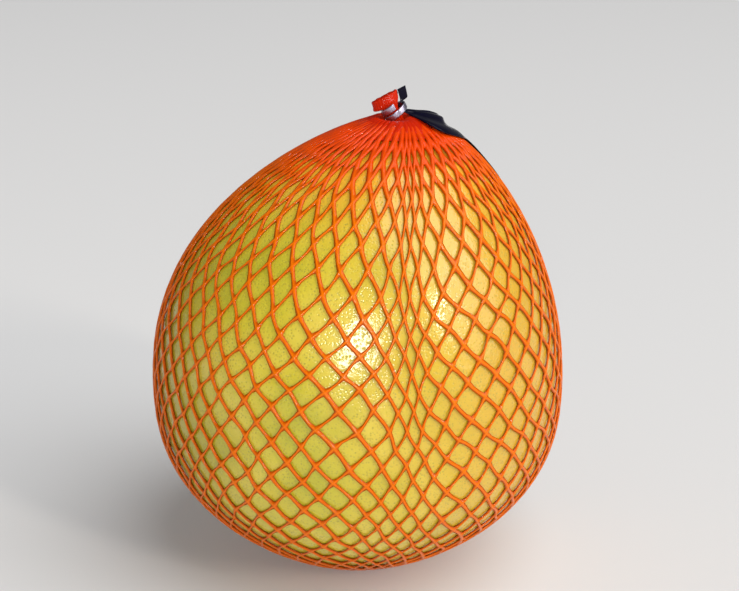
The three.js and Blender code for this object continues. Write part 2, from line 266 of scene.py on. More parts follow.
@dataclass(frozen=True)
class WaxedPeel:
    """Ripe pomelo peel, washed and waxed: oil glands under a thin clear gloss."""

    ground: str = "#cabb30"
    green: str = "#b4ae24"
    pale: str = "#dac64a"
    # Painted orange light from the gathered net, near the top.
    painted_net_glow: str = "#eb9c1c"
    # Painted shade on the left side.
    painted_shade: str = "#7e6c14"
    # Painted warm light on the right side.
    painted_warm_light: str = "#c9962a"
    gland: str = "#9a9134"
    gland_spacing_mm: float = 1.0
    gland_pit_mm: float = 0.16
    grain_mm: float = 4.5
    grain_depth_mm: float = 0.5
    mottle_mm: float = 26.0
    patch_mm: float = 6.0
    # Heights and strength of the painted orange light from the net.
    painted_net_glow_mm: tuple[float, float] = (124.0, 158.0)
    painted_net_glow_most: float = 0.85
    # Sideways span and strength of the painted warm light.
    painted_warm_light_mm: tuple[float, float] = (-8.0, 78.0)
    painted_warm_light_most: float = 0.8
    # Sideways span and strength of the painted shade.
    painted_shade_mm: tuple[float, float] = (-18.0, -70.0)
    painted_shade_most: float = 0.75
    # The direction of the light that the painted warm light and the painted shade follow.
    lit_direction: tuple[float, float, float] = (1.0, 0.0, 0.2)
    roughness: float = 0.45
    specular: float = 0.25
    wax: float = 1.0
    wax_roughness: float = 0.11
    glow: float = 0.12
    glow_by_colour: tuple[float, float, float] = (1.0, 0.7, 0.15)
    glow_mm: float = 2.0

    def build(self) -> bpy.types.Material:
        """Makes the material."""
        material, tree, shader = new_material("waxed_pomelo_peel", {
            "Roughness": self.roughness, "Specular IOR Level": self.specular,
            "Coat Weight": self.wax, "Coat Roughness": self.wax_roughness,
            "Subsurface Weight": self.glow, "Subsurface Radius": self.glow_by_colour,
            "Subsurface Scale": self.glow_mm * MM})
        place = object_place(tree)
        # Slow drift between riper yellow and greener patches, as the fruit coloured on the tree.
        drift = mottle(tree, place, self.mottle_mm, 3.0, Roughness=0.55)
        ramp = add_node(tree, "ShaderNodeValToRGB", {"Fac": drift})
        colour_stops(ramp, [(0.3, self.green), (0.5, self.ground), (0.72, self.pale)])
        # The right side is painted warmer, most of all towards its shoulder: painted warm light on the
        # lit side.
        sideways = add_node(
            tree, "ShaderNodeVectorMath", {0: place, 1: self.lit_direction}, operation="DOT_PRODUCT",
        ).outputs["Value"]
        warm_light_share = self.zone(tree, sideways, self.painted_warm_light_mm, self.painted_warm_light_most, Curve.SOFT)
        warm = blend(tree, warm_light_share, ramp.outputs["Color"], linear(self.painted_warm_light))
        # The left side is painted darker and duller: painted shade on the side away from the light.
        painted_shade_share = self.zone(tree, sideways, self.painted_shade_mm, self.painted_shade_most, Curve.STRAIGHT)
        dull = blend(tree, painted_shade_share, warm, linear(self.painted_shade))
        # Near the top the peel is painted a deeper gold: painted orange light thrown onto it by the
        # gathered net.
        high = self.zone(tree, object_height(tree, place), self.painted_net_glow_mm, self.painted_net_glow_most, Curve.SOFT)
        with_net_glow = blend(tree, high, dull, linear(self.painted_net_glow))
        # Oil glands: small darker dots about a millimetre apart, each a shallow pit.
        glands = add_node(tree, "ShaderNodeTexVoronoi", {
            "Vector": place, "Scale": 1 / (self.gland_spacing_mm * MM), "Randomness": 0.9},
        ).outputs["Distance"]
        dots = ranged(tree, glands, (0.12, 0.42), (1.0, 0.0))
        strength = ranged(tree, mottle(tree, place, self.patch_mm, 2.0), (0.35, 0.65), (0.25, 0.75))
        dotted = add_node(tree, "ShaderNodeMath", {0: dots, 1: strength}, operation="MULTIPLY")
        colour = blend(tree, dotted.outputs["Value"], with_net_glow, linear(self.gland))
        tree.links.new(colour, shader.inputs["Base Color"])
        # The peel under the glands is a little uneven, which breaks up the wax's highlight.
        grain = bump(tree, mottle(tree, place, self.grain_mm, 4.0), 0.5, self.grain_depth_mm)
        relief = bump(tree, ranged(tree, glands, (0.0, 0.5)), 0.5, self.gland_pit_mm, grain)
        tree.links.new(relief, shader.inputs["Normal"])
        tree.links.new(relief, shader.inputs["Coat Normal"])
        return material

    def zone(
        self, tree: bpy.types.NodeTree, value: Socket, span_mm: tuple[float, float], most: float,
        curve: Curve,
    ) -> Socket:
        """Gives how strong a band of painted light, or of painted shade, is on the peel, from where it
        starts to where it is full.
        """
        return ranged(tree, value, (span_mm[0] * MM, span_mm[1] * MM), (0.0, most), curve)


@dataclass(frozen=True)
class NetPlastic:
    """Extruded polyethylene net, dyed orange right through: glossy, and redder where it is thick."""

    name: str = "extruded_orange_polyethylene"
    face: str = "#e66f00"
    # The colour at the strands' edges, darker as painted shade.
    edge: str = "#b44800"
    gathered: str = "#d43a00"
    roughness: float = 0.3
    gloss: float = 0.32
    gloss_roughness: float = 0.09
    specular: float = 0.04
    cloud_mm: float = 3.0
    cloud_depth_mm: float = 0.2
    dimple_mm: float = 1.1
    dimple_depth_mm: float = 0.3
    gathered_mm: tuple[float, float] = (134.0, 157.0)

    def build(self) -> bpy.types.Material:
        """Makes the material."""
        material, tree, shader = new_material(self.name, {
            "Roughness": self.roughness, "Specular IOR Level": self.specular,
            "Coat Weight": self.gloss, "Coat Roughness": self.gloss_roughness})
        place = object_place(tree)
        # Each strand is painted darker towards its edges than along its middle: painted shade on its
        # rounded sides.
        ridge = add_node(tree, "ShaderNodeAttribute", attribute_name="strand_middle").outputs["Fac"]
        # Drawing the hot net leaves it cloudy in places and clear in others.
        cloud = mottle(tree, place, self.cloud_mm, 3.0)
        wobble = add_node(tree, "ShaderNodeMath", {0: cloud, 1: 0.5, 2: -0.25}, operation="MULTIPLY_ADD")
        share = add_node(tree, "ShaderNodeMath", {
            0: ridge, 1: wobble.outputs["Value"]}, operation="ADD", use_clamp=True)
        colour = blend(tree, share.outputs["Value"], linear(self.edge), linear(self.face))
        # Towards the clip the plastic lies in many layers, and its colour deepens to red.
        low, high = self.gathered_mm
        layers = ranged(tree, object_height(tree, place), (low * MM, high * MM), curve=Curve.SOFT)
        tree.links.new(blend(tree, layers, colour, linear(self.gathered)), shader.inputs["Base Color"])
        tree.links.new(bump(tree, cloud, 0.35, self.cloud_depth_mm), shader.inputs["Normal"])
        # The drawn skin is dimpled, and each dimple can catch the flash as a small white glint.
        glints = bump(tree, mottle(tree, place, self.dimple_mm, 2.0), 0.6, self.dimple_depth_mm)
        tree.links.new(glints, shader.inputs["Coat Normal"])
        return material

    @classmethod
    def layered(cls, name: str) -> "NetPlastic":
        """Gives the finish of net drawn or pressed together in many layers: redder and duller."""
        return cls(name, face="#cf2a00", edge="#9a1600", gathered="#b81f00", roughness=0.42, gloss=0.18)


@dataclass(frozen=True)
class DrawnAluminium:
    """Soft aluminium wire, rolled flat: pale, satin, with fine lines along it."""

    colour: str = "#b3acc0"
    line_mm: float = 0.25
    line_depth_mm: float = 0.05
    roughness: tuple[float, float] = (0.2, 0.42)
    stretched: tuple[float, float, float] = (0.2, 0.2, 1.0)

    def build(self) -> bpy.types.Material:
        """Makes the material."""
        material, tree, shader = new_material("rolled_aluminium_wire", {
            "Base Color": linear(self.colour), "Metallic": 1.0})
        # Rolling leaves fine lines, so the metal is brighter and duller by turns.
        along = add_node(tree, "ShaderNodeMapping", {
            "Vector": object_place(tree), "Scale": self.stretched})
        lines = mottle(tree, along.outputs["Vector"], self.line_mm, 2.0)
        tree.links.new(ranged(tree, lines, (0.0, 1.0), self.roughness), shader.inputs["Roughness"])
        tree.links.new(bump(tree, lines, 0.3, self.line_depth_mm), shader.inputs["Normal"])
        return material


@dataclass(frozen=True)
class DarkFilm:
    """Plain polypropylene film, nearly black with a violet cast, glossy and slightly creased."""

    colour: str = "#020307"
    cast: str = "#0e0a26"
    crease_mm: float = 5.0
    crease_depth_mm: float = 0.6
    roughness: float = 0.18
    specular: float = 0.12

    def build(self) -> bpy.types.Material:
        """Makes the material."""
        material, tree, shader = new_material("dark_polypropylene_film", {
            "Roughness": self.roughness, "Specular IOR Level": self.specular})
        # Creases bend the reflections, and the film's violet cast shows along them.
        creases = mottle(tree, object_place(tree), self.crease_mm, 3.0, Distortion=0.6)
        tree.links.new(
            blend(tree, creases, linear(self.colour), linear(self.cast)), shader.inputs["Base Color"])
        tree.links.new(bump(tree, creases, 0.5, self.crease_depth_mm), shader.inputs["Normal"])
        return material


@dataclass
class WrapShape:
    """The middle surface of the net: a leaning pear on a flat foot, in millimetres."""

    belly_radius: float = 71.9
    belly_height: float = 64.0
    shoulder_rise: float = 95.6
    shoulder_power: float = 2.17
    shoulder_fullness: float = 0.69
    crown_height: float = 158.3
    crown_easing: float = 1.2
    crown_radius: float = 7.5
    base_depth: float = 75.0
    base_power: float = 2.43
    base_fullness: float = 0.9
    flat_easing: float = 2.4
    wrap_low: float = 0.75
    lean: float = 14.2
    lean_power: float = 2.9
    two_lobe: float = 0.008
    three_lobe: float = 0.005
    lobes_from: float = 20.0
    lobes_full: float = 60.0
    stations: int = 1600
    distances: list[float] = field(default_factory=list)
    places: list[Vector] = field(default_factory=list)

    def __post_init__(self) -> None:
        """Measures the outline once, so that a place on it can be asked for by its distance."""
        share = (self.crown_radius / self.belly_radius) ** (1 / self.shoulder_fullness)
        last = math.asin((1 - share) ** (1 / self.shoulder_power))
        travelled = 0.0
        for index in range(self.stations + 1):
            place = self.outline(mix(-math.pi / 2, last, index / self.stations))
            if self.places:
                travelled += (place - self.places[-1]).length
            self.places.append(place)
            self.distances.append(travelled)
        self.length = travelled
        self.peak_height = self.places[-1].y
        self.peak = self.settle(Vector((0, 0, self.peak_height)))

    def outline(self, lift: float) -> Vector:
        """Gives radius and height for an angle from straight down (-pi/2) to the crown."""
        u = math.sin(lift)
        if u >= 0:
            radius = self.belly_radius * (1 - u ** self.shoulder_power) ** self.shoulder_fullness
            below = self.crown_height - self.belly_height - self.shoulder_rise * u
            return Vector((radius, self.crown_height - level_out(below, self.crown_easing)))
        radius = self.belly_radius * (1 - (-u) ** self.base_power) ** self.base_fullness
        above = self.belly_height + self.base_depth * u
        return Vector((radius, max(level_out(above, self.flat_easing), self.wrap_low)))

    def on_outline(self, distance: float) -> tuple[float, float, float, float]:
        """Finds a place on the outline.

        Args:
            distance: Millimetres from the middle of the underside, along the outline.

        Returns:
            Radius, height, and the outward normal's radial and upward parts.
        """
        distance = min(max(distance, 0.0), self.length)
        index = min(max(bisect.bisect_right(self.distances, distance), 1), self.stations)
        low, high = self.distances[index - 1], self.distances[index]
        share = (distance - low) / max(high - low, 1e-9)
        place = self.places[index - 1].lerp(self.places[index], share)
        ahead = self.places[min(index + 2, self.stations)]
        behind = self.places[max(index - 3, 0)]
        along = (ahead - behind).normalized()
        return place.x, place.y, along.y, -along.x

    def settle(self, point: Vector) -> Vector:
        """Moves a point of the round, upright shape to its place on the leaning, lobed one."""
        angle = math.atan2(point.y, point.x)
        rise = (point.z - self.belly_height) / (self.peak_height - self.belly_height)
        rise = min(max(rise, 0.0), 1.0)
        belly = ease(math.hypot(point.x, point.y), self.lobes_from, self.lobes_full)
        lobe = 1 - belly * (
            self.two_lobe * math.sin(2 * angle) + self.three_lobe * math.sin(3 * angle))
        return Vector((point.x * lobe + self.lean * rise ** self.lean_power, point.y * lobe, point.z))

    def on_wrap(self, angle: float, distance: float, offset: float) -> Vector:
        """Finds a point on the wrap, raised by an offset along the outward normal."""
        radius, height, out, up = self.on_outline(distance)
        r = radius + out * offset
        return self.settle(Vector((r * math.cos(angle), r * math.sin(angle), height + up * offset)))

    def distance_at(self, radius: float) -> float:
        """Walks down the outline from the crown to where it is a radius wide."""
        order = range(self.stations, -1, -1)
        return next(self.distances[i] for i in order if self.places[i].x >= radius)

    def distance_at_height(self, height: float) -> float:
        """Walks up the outline from the underside to a height."""
        return next(d for d, p in zip(self.distances, self.places) if p.y >= height)


def mapped_grid(
    columns: int, rows: int, place: Callable[[float, float], Vector], closed: bool
) -> bmesh.types.BMesh:
    """Lays a grid over a surface.

    Args:
        columns: Cells across.
        rows: Cells along.
        place: Gives the point for a share across and a share along, both from 0 to 1.
        closed: Whether the last column meets the first.

    Returns:
        The new mesh, in millimetres.
    """
    bm = bmesh.new()
    bmesh.ops.create_grid(bm, x_segments=columns, y_segments=rows, size=1.0)
    for vert in bm.verts:
        vert.co = place((vert.co.x + 1) / 2, (vert.co.y + 1) / 2)
    if closed:
        bmesh.ops.remove_doubles(bm, verts=bm.verts, dist=0.002)
    return bm


def add_object(name: str, data: bpy.types.ID) -> bpy.types.Object:
    """Puts new data into the scene as an object at the origin."""
    made = bpy.data.objects.new(name, data)
    bpy.context.scene.collection.objects.link(made)
    return made


def set_tone(bm: bmesh.types.BMesh, tone: float) -> None:
    """Sets how near a strand's bright middle the whole mesh counts as being, from 0 to 1."""
    middle = bm.verts.layers.float.new("strand_middle")
    for vert in bm.verts:
        vert[middle] = tone


def to_piece(
    bm: bmesh.types.BMesh, name: str, material: bpy.types.Material, node: str
) -> bpy.types.Object:
    """Turns a mesh in millimetres into a dressed piece of the part.

    Args:
        bm: The mesh, which is used up.
        name: The piece's name.
        material: Its material.
        node: The solid that it stands for.

    Returns:
        The piece.
    """
    bmesh.ops.recalc_face_normals(bm, faces=bm.faces)
    bmesh.ops.scale(bm, vec=(MM, MM, MM), verts=bm.verts)
    mesh = bpy.data.meshes.new(name)
    bm.to_mesh(mesh)
    bm.free()
    mesh.materials.append(material)
    shade(mesh, Shading.SMOOTH)
    piece = add_object(name, mesh)
    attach(piece, "root")
    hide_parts(node)
    log.info("%s: %d faces", name, len(mesh.polygons))
    return piece


def thicken(piece: bpy.types.Object, thickness: float) -> None:
    """Gives a sheet its thickness in millimetres, half to each side, with a live modifier."""
    solid = piece.modifiers.new("thickness", "SOLIDIFY")
    solid.thickness = thickness * MM
    solid.offset = 0.0
    solid.use_even_offset = False


@dataclass
class Fruit:
    """The pomelo itself."""

    shape: WrapShape
    skin_gap: float = 0.5
    stem_fall: float = 1.3
    stem_fall_height: float = 12.0
    columns: int = 200
    rows: int = 170
    swell: float = 0.35
    swell_size: float = 19.0

    def skin(self, across: float, along: float) -> Vector:
        """Gives a point of the skin."""
        distance = self.shape.length * along
        _, height, _, _ = self.shape.on_outline(distance)
        fall = self.stem_fall * ease(
            height, self.shape.peak_height - self.stem_fall_height, self.shape.peak_height)
        angle = 2 * math.pi * across
        point = self.shape.on_wrap(angle, distance, -self.skin_gap - fall)
        # Slow swells of a grown surface, kept inside the net.
        uneven = min(noise.noise(point / self.swell_size), 0.0) * self.swell
        return self.shape.on_wrap(angle, distance, -self.skin_gap - fall + uneven)

    def build(self) -> bpy.types.Object:
        """Makes the fruit."""
        bm = mapped_grid(self.columns, self.rows, self.skin, closed=True)
        return to_piece(bm, "peel", WaxedPeel().build(), "pomelo")


@dataclass
class NetSleeve:
    """The stretched net: diamonds whose strands keep one length, a little drawn out near the neck."""

    shape: WrapShape
    columns: int = 48
    strand_length: float = 7.5
    drawn: float = 0.2
    drawn_heights: tuple[float, float] = (95.0, 150.0)
    half_width: float = 0.29
    thickness: float = 0.62
    ridge: float = 0.16
    foot_radius: float = 9.0
    gathered_width: float = 2.3
    gathered_radii: tuple[float, float] = (16.0, 58.0)
    closed_below: float = 0.2
    closed_sink: float = 0.3
    # The strands that fall to the right left the die thicker than those that rise to the right.
    heavier: float = 0.045
    web_along: float = 0.13
    web_across: float = 0.1
    bunch_at: float = math.radians(14)
    bunch_width: float = math.radians(14)
    bunch: float = 0.48
    bunch_low: float = 0.18
    bunch_heights: tuple[float, float] = (35.0, 85.0)
    jitter: float = 0.62
    jitter_radii: tuple[float, float] = (10.0, 40.0)
    jitter_sizes: tuple[tuple[float, float], ...] = ((9.0, 2.0), (31.0, 4.0))

    def strand(self, distance: float) -> float:
        """Gives a strand's length at a distance along the outline: the clip's pull draws it out."""
        _, height, _, _ = self.shape.on_outline(distance)
        return self.strand_length * (1 + self.drawn * ease(height, *self.drawn_heights))

    def rows(self) -> list[float]:
        """Finds the rows of crossings, from the foot to the crown, as distances along the outline."""
        belly = self.shape.distance_at_height(self.shape.belly_height)
        found = [belly]
        for sign, limit in ((-1, self.foot_radius), (1, self.shape.crown_radius)):
            at = belly
            while True:
                half = math.pi * self.shape.on_outline(at)[0] / self.columns
                at += sign * math.sqrt(self.strand(at) ** 2 - half ** 2)
                if not 0 < at < self.shape.length or self.shape.on_outline(at)[0] < limit:
                    break
                found.append(at)
        found.sort()
        return found if len(found) % 2 else found[1:]

    def on_net(self, turn: float, distance: float, offset: float) -> Vector:
        """Gives a place on the net, bunched right of the photographed middle and a little uneven.

        Args:
            turn: The azimuth before bunching, in radians.
            distance: Millimetres along the outline.
            offset: Millimetres out from the wrap.

        Returns:
            The point.
        """
        radius, height, _, _ = self.shape.on_outline(distance)
        strength = mix(self.bunch_low, self.bunch, ease(height, *self.bunch_heights))
        x = (math.remainder(turn + math.pi / 2, math.tau) - self.bunch_at) / self.bunch_width
        angle = turn - strength * self.bunch_width * x * math.exp(-x * x / 2)
        point = self.shape.on_wrap(angle, distance, offset)
        free = self.jitter * ease(radius, *self.jitter_radii)
        shift = Vector((0, 0, 0))
        for size, share in self.jitter_sizes:
            shift += noise.noise_vector(point / size) * free * share
        return self.shape.on_wrap(angle + shift.x / max(radius, 5), distance + shift.y, offset)

    def unrolled(self, cells: int) -> bmesh.types.BMesh:
        """Makes the net's pattern on a plain drum, one unit high for each row of crossings.

        Args:
            cells: Rows of whole cells.

        Returns:
            The drum, each diamond a face whose sides are cut in three.
        """
        bm = bmesh.new()
        bmesh.ops.create_grid(bm, x_segments=self.columns, y_segments=cells, size=1.0)
        bmesh.ops.poke(bm, faces=bm.faces[:])
        row_of = bm.verts.layers.int.new("row")
        drum = self.columns / math.pi
        for vert in bm.verts:
            vert[row_of] = round((vert.co.y + 1) * cells)
            turn = math.pi * vert.co.x
            vert.co = Vector((drum * math.cos(turn), drum * math.sin(turn), vert[row_of]))
        bmesh.ops.remove_doubles(bm, verts=bm.verts, dist=0.01)
        across = [e for e in bm.edges
                  if (e.verts[0][row_of] - e.verts[1][row_of]) % 2 == 0 and not e.is_boundary]
        bmesh.ops.dissolve_edges(bm, edges=across, use_verts=False, use_face_split=False)
        bmesh.ops.bisect_edges(bm, edges=bm.edges[:], cuts=2)
        bmesh.ops.recalc_face_normals(bm, faces=bm.faces)
        return bm

    def opening(self, row: float, rows: list[float]) -> float:
        """Gives the share of a cell that its opening takes, at a row of the drum."""
        place = self.distance(row, rows)
        radius, _, _, _ = self.shape.on_outline(place)
        across = math.pi * radius / self.columns
        along = math.sqrt(self.strand(place) ** 2 - across ** 2)
        width = self.half_width * mix(self.gathered_width, 1.0, ease(radius, *self.gathered_radii))
        return 1 - width * self.strand(place) / (across * along)

    def distance(self, row: float, rows: list[float]) -> float:
        """Turns a height on the drum into a distance along the outline."""
        first = min(max(int(row), 0), len(rows) - 2)
        return mix(rows[first], rows[first + 1], row - first)

    def rounded(self, dx: float, dy: float) -> float:
        """Gives how far a point of an opening's rim is drawn in.

        Args:
            dx: Its place across, as a share of the half cell.
            dy: Its place along, likewise.

        Returns:
            A factor that webs the corners and makes one family of strands heavier.
        """
        corner = max(2 * max(abs(dx), abs(dy)) - 1, 0.0) ** 2
        web = self.web_along if abs(dy) > abs(dx) else self.web_across
        return (1 - web * corner) * (1 - self.heavier * 4 * dx * dy)

    def build(self) -> bpy.types.Object:
        """Makes the sleeve, with its thickness live."""
        rows = self.rows()
        cells = (len(rows) - 1) // 2
        bm = self.unrolled(cells)
        middle = bm.verts.layers.float.new("strand_middle")
        offset = bm.verts.layers.float.new("offset")
        for vert in bm.verts:
            vert[middle] = 1.0
            vert[offset] = self.ridge
        diamonds = [f for f in bm.faces if len(f.verts) == DIAMOND_SIDES]
        bmesh.ops.inset_individual(
            bm, faces=diamonds, thickness=0.01, depth=0.0, use_even_offset=True)
        openings = []
        for face in diamonds:
            centre = face.calc_center_median()
            turn = math.atan2(centre.y, centre.x)
            share = self.opening(centre.z, rows)
            is_open = share > self.closed_below
            for vert in face.verts:
                aside = math.remainder(math.atan2(vert.co.y, vert.co.x) - turn, math.tau)
                dx = aside * self.columns / math.pi
                dy = vert.co.z - centre.z
                reach = max(share, self.closed_below) * self.rounded(dx, dy)
                at = turn + dx * reach * math.pi / self.columns
                vert.co = Vector((math.cos(at), math.sin(at), centre.z + dy * reach))
                vert[middle] = 0.0
                vert[offset] = -(self.ridge if is_open else self.closed_sink)
            if is_open:
                openings.append(face)
        bmesh.ops.delete(bm, geom=openings, context="FACES_ONLY")
        for vert in bm.verts:
            turn = math.atan2(vert.co.y, vert.co.x)
            vert.co = self.on_net(turn, self.distance(vert.co.z, rows), vert[offset])
        piece = to_piece(bm, "net_sleeve", NetPlastic().build(), "net")
        thicken(piece, self.thickness)
        return piece


@dataclass
class NetNeck:
    """The gathered end of the net: pleats, the neck in the clip, and the cut tail above it."""

    shape: WrapShape
    tilt: float = math.radians(-28)
    radius: float = 3.0
    low: float = -1.4
    high: float = 5.9
    flat: float = 1.45
    tail_end: float = 9.0
    tail_left: float = 6.4
    tail_inward: float = 0.8
    tail_droop: float = 1.1
    tail_base: float = 2.6
    tail_right: float = 3.8
    tail_half_depth: float = 1.9
    dimple_radius: float = 4.2
    dimple_aside: float = -0.6
    dimple_drop: float = 0.1
    dimple_tilt: float = math.radians(-14)
    skirt_radius: float = 17.0
    # Share of the way from the skirt's edge to the crown, and how far the gather stands off there.
    skirt: tuple[tuple[float, float], ...] = ((0.0, -0.2), (0.35, 0.25), (0.7, 0.5), (1.0, 0.6))
    neck_shares: tuple[float, ...] = (0.0, 0.3, 0.7)
    tail_shares: tuple[float, ...] = (0.0, 0.25, 0.6, 1.0)
    pleats: int = 34
    pleat_depth: float = 0.13
    pleat_sway: float = 5.0
    pleats_lost: float = 0.7
    ragged: float = 0.25
    layer_tone: float = 0.45
    rows: int = 60
    columns: int = 240

    def frame_at_peak(self) -> Matrix:
        """Gives the leaning neck's own frame, in millimetres."""
        return Matrix.Translation(self.shape.peak) @ Matrix.Rotation(self.tilt, 4, "Y")

    def fold(self, angle: float, level: float) -> float:
        """Gives a pleat's height from -1 to 1, uneven round the neck and drifting up it."""
        sway = noise.noise(Vector((math.cos(angle) * 2, math.sin(angle) * 2, level / 5)))
        return math.sin(self.pleats * angle + self.pleat_sway * sway)

    def crown_ring(self, angle: float) -> Vector:
        """Gives a point of the dimple that the clip sits in."""
        aside = Matrix.Rotation(self.dimple_tilt, 3, "Y")
        middle = self.shape.peak + Vector((self.dimple_aside, 0, -self.dimple_drop))
        ring = Vector((math.cos(angle), math.sin(angle), 0)) * self.dimple_radius
        return middle + aside @ ring

    def neck_ring(self, angle: float, height: float) -> Vector:
        """Gives a point of the neck, which has a flat side for the film."""
        x = min(self.radius * math.cos(angle), self.flat)
        return self.frame_at_peak() @ Vector((x, self.radius * math.sin(angle), height))

    def tail_ring(self, angle: float, share: float) -> Vector:
        """Gives a point of the tail, which spreads towards its cut end."""
        left = mix(self.radius, self.tail_left, ease(share, 0, 0.25)) - self.tail_inward * share
        right = mix(self.tail_base, self.tail_right, share ** 0.6)
        deep = mix(self.radius, self.tail_half_depth, share)
        x = (right - left) / 2 + (right + left) / 2 * math.cos(angle)
        height = mix(self.high, self.tail_end, share)
        height -= self.tail_droop * max(-math.cos(angle), 0.0) * (1 - share)
        return self.frame_at_peak() @ Vector((x, deep * math.sin(angle), height))

    def rings(self, angle: float) -> list[Vector]:
        """Lists the points of one meridian, from the skirt under the sleeve up to the cut end."""
        start = self.shape.distance_at(self.skirt_radius)
        skirt = [self.shape.on_wrap(angle, mix(start, self.shape.length, share), lift)
                 for share, lift in self.skirt]
        neck = [self.neck_ring(angle, mix(self.low, self.high, share)) for share in self.neck_shares]
        tail = [self.tail_ring(angle, share) for share in self.tail_shares]
        return [*skirt, self.crown_ring(angle), *neck, *tail]

    def place(self, across: float, along: float) -> Vector:
        """Gives a point of the gather with its pleats."""
        angle = math.tau * across
        rings = self.rings(angle)
        last = len(rings) - 1
        tail_from = last - len(self.tail_shares) + 1
        level = along * last
        point = through(rings, level)
        outward = Vector((math.cos(angle), math.sin(angle), 0))
        if level < len(self.skirt):
            outward = Vector((0, 0, 1))
        depth = self.pleat_depth * (1 - self.pleats_lost * ease(level, tail_from, tail_from + 2))
        torn = self.ragged * noise.noise(Vector((angle * 3, 4, 1)))
        cut = Vector((0, 0, torn)) * ease(level, last - 1, last)
        return point + outward * depth * self.fold(angle, level) + cut

    def build(self) -> bpy.types.Object:
        """Makes the gather, neck and tail, closed at both ends."""
        bm = mapped_grid(self.columns, self.rows, self.place, closed=True)
        set_tone(bm, self.layer_tone)
        ends = bmesh.ops.holes_fill(bm, edges=[e for e in bm.edges if e.is_boundary], sides=0)
        tail = max(ends["faces"], key=lambda f: f.calc_center_median().z)
        bmesh.ops.inset_individual(bm, faces=[tail], thickness=0.5, depth=-0.4)
        finish = NetPlastic.layered("gathered_orange_polyethylene")
        return to_piece(bm, "net_neck", finish.build(), "net")


@dataclass
class NetFoot:
    """The net's foot, pressed to a flat button under the fruit."""

    radius: float = 14.0
    thickness: float = 1.3
    rim: float = 0.35
    press_mark: float = 0.12
    press_width: float = 2.6
    layer_tone: float = 0.5

    def build(self) -> bpy.types.Object:
        """Makes the button."""
        bm = bmesh.new()
        made = bmesh.ops.create_cone(
            bm, cap_ends=True, segments=96, radius1=self.radius, radius2=self.radius,
            depth=self.thickness)
        bmesh.ops.translate(bm, vec=(0, 0, self.thickness / 2), verts=made["verts"])
        rims = [e for e in bm.edges if abs(e.verts[0].co.z - e.verts[1].co.z) < 1e-6]
        bmesh.ops.bevel(
            bm, geom=rims, offset=self.rim, segments=3, affect="EDGES", profile=0.5, material=-1)
        caps = [f for f in bm.faces if len(f.verts) > 8]
        for depth in (-self.press_mark, self.press_mark):
            bmesh.ops.inset_individual(bm, faces=caps, thickness=self.press_width, depth=depth)
        set_tone(bm, self.layer_tone)
        finish = NetPlastic.layered("pressed_orange_polyethylene")
        return to_piece(bm, "net_foot", finish.build(), "net")


@dataclass
class WireClip:
    """The flat wire, wound once and a quarter round the neck, from its left side to past its front."""

    neck: NetNeck
    gap: float = 0.3
    thickness: float = 1.0
    band: float = 2.1
    pitch: float = 2.65
    start: float = math.radians(185)
    turns: float = 1.27
    slant: float = 0.08
    middle: float = 3.2
    rounding: float = 0.28
    steps: int = 96

    def build(self) -> bpy.types.Object:
        """Makes the clip by turning the wire's rounded section about the neck."""
        bm = bmesh.new()
        radius = self.neck.radius + self.gap + self.thickness / 2
        bmesh.ops.create_grid(bm, x_segments=1, y_segments=1, size=0.5)
        bmesh.ops.scale(bm, vec=(self.thickness, self.band, 1), verts=bm.verts)
        bmesh.ops.bevel(
            bm, geom=bm.verts[:], offset=self.rounding, segments=4, affect="VERTICES", profile=0.5,
            material=-1)
        bmesh.ops.rotate(bm, matrix=Matrix.Rotation(math.pi / 2, 3, "X"), verts=bm.verts)
        low = self.middle - self.pitch * self.turns / 2
        bmesh.ops.translate(bm, vec=(radius, 0, low), verts=bm.verts)
        bmesh.ops.rotate(bm, matrix=Matrix.Rotation(self.start, 3, "Z"), verts=bm.verts)
        bmesh.ops.delete(bm, geom=bm.faces[:], context="FACES_ONLY")
        bmesh.ops.spin(
            bm, geom=bm.verts[:] + bm.edges[:], axis=(0, 0, 1), angle=2 * math.pi * self.turns,
            steps=self.steps, dvec=(0, 0, self.pitch * self.turns / self.steps))
        bmesh.ops.holes_fill(bm, edges=[e for e in bm.edges if e.is_boundary], sides=0)
        for vert in bm.verts:
            vert.co.z += self.slant * vert.co.x
        bmesh.ops.transform(bm, matrix=self.neck.frame_at_peak(), verts=bm.verts)
        return to_piece(bm, "wire_clip", DrawnAluminium().build(), "clip")


